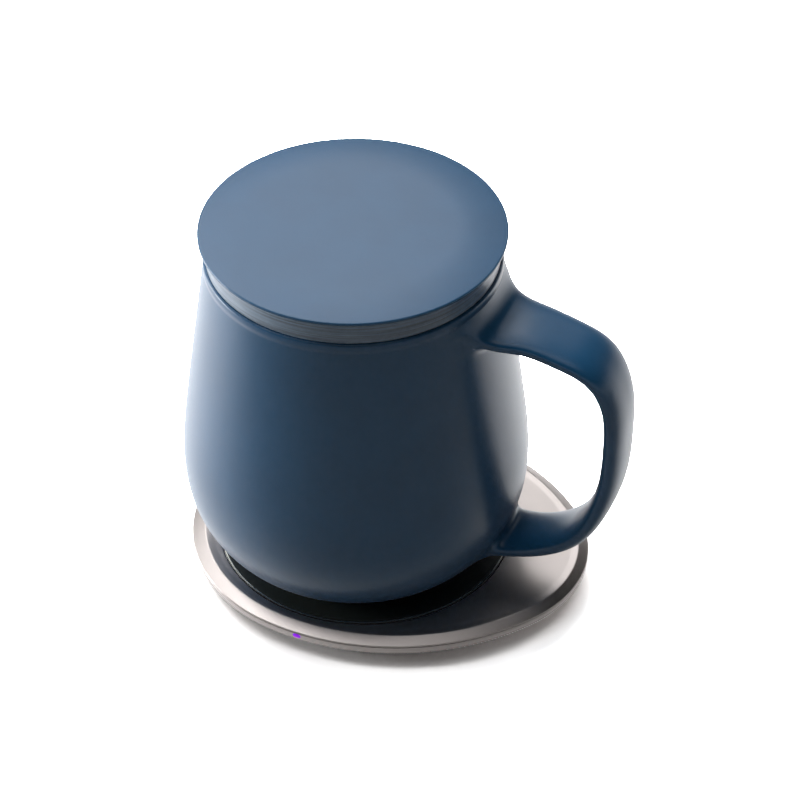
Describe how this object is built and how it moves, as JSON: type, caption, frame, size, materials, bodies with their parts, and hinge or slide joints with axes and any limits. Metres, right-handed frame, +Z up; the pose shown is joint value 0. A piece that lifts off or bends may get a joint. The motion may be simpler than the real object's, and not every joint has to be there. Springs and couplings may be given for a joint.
{
  "type": "self-heating mug with warming pad",
  "caption": "Lidded ceramic mug with a wide strap handle, standing on a thin oval warming pad with a raised black heating disc and a small status light.",
  "frame": {"origin": "middle of the pad's foot on the table, straight under the middle of the round charging plate", "axes": "+X along the pad to its long nose, on the side the mug's handle points to; +Z up; the status light faces -Y and the USB-C socket faces +Y"},
  "size_m": [0.125, 0.095, 0.1131],
  "materials": {
    "navy_glaze": "matte satin glaze",
    "silver_film": "satin",
    "dark_silicone": "soft matte",
    "rose_metal": "satin anodised",
    "foot_silicone": "matte",
    "black_plate": "soft matte",
    "glue": "matte",
    "ring_black": "satin",
    "carrier_plastic": "matte",
    "ferrite": "matte",
    "copper_wire": "enamelled",
    "shield_sheet": "matte",
    "chip_black": "matte",
    "board_green": "solder mask",
    "capacitor_tan": "satin",
    "socket_steel": "nickel plated",
    "light_purple": "glossy, lit from behind",
    "screw_steel": "plain"
  },
  "bodies": {
    "pad": {"base_shell": "rose_metal", "foot_pad": "foot_silicone", "tray_cover": "rose_metal", "charging_plate": "black_plate", "plate_glue": "glue", "plate_ring": "ring_black", "coil_carrier": "carrier_plastic", "ferrite_sheet": "ferrite", "heating_coil": "copper_wire", "heat_shield": "shield_sheet", "heat_sensor": "chip_black", "sensor_pad": "glue", "control_board": "board_green", "controller_chip": "chip_black", "driver_chip_1": "chip_black", "driver_chip_2": "chip_black", "power_inductor": "ferrite", "tank_capacitor_1": "capacitor_tan", "tank_capacitor_2": "capacitor_tan", "tank_capacitor_3": "capacitor_tan", "usb_socket": "socket_steel", "usb_tongue": "chip_black", "led_chip": "carrier_plastic", "light_guide": "light_purple", "case_screw_1": "screw_steel", "case_screw_2": "screw_steel", "case_screw_3": "screw_steel", "case_screw_4": "screw_steel"},
    "mug": {"mug_body": "navy_glaze", "mug_handle": "navy_glaze", "heating_film": "silver_film"},
    "lid": {"lid_body": "navy_glaze", "lid_seal": "dark_silicone"}
  },
  "joints": [
    {"name": "mug_lift", "type": "slide", "parent": "pad", "child": "mug", "axis": [0, 0, 1], "range_m": [0, 0.06]},
    {"name": "lid_lift", "type": "slide", "parent": "mug", "child": "lid", "axis": [0, 0, 1], "range_m": [0, 0.05]}
  ]
}
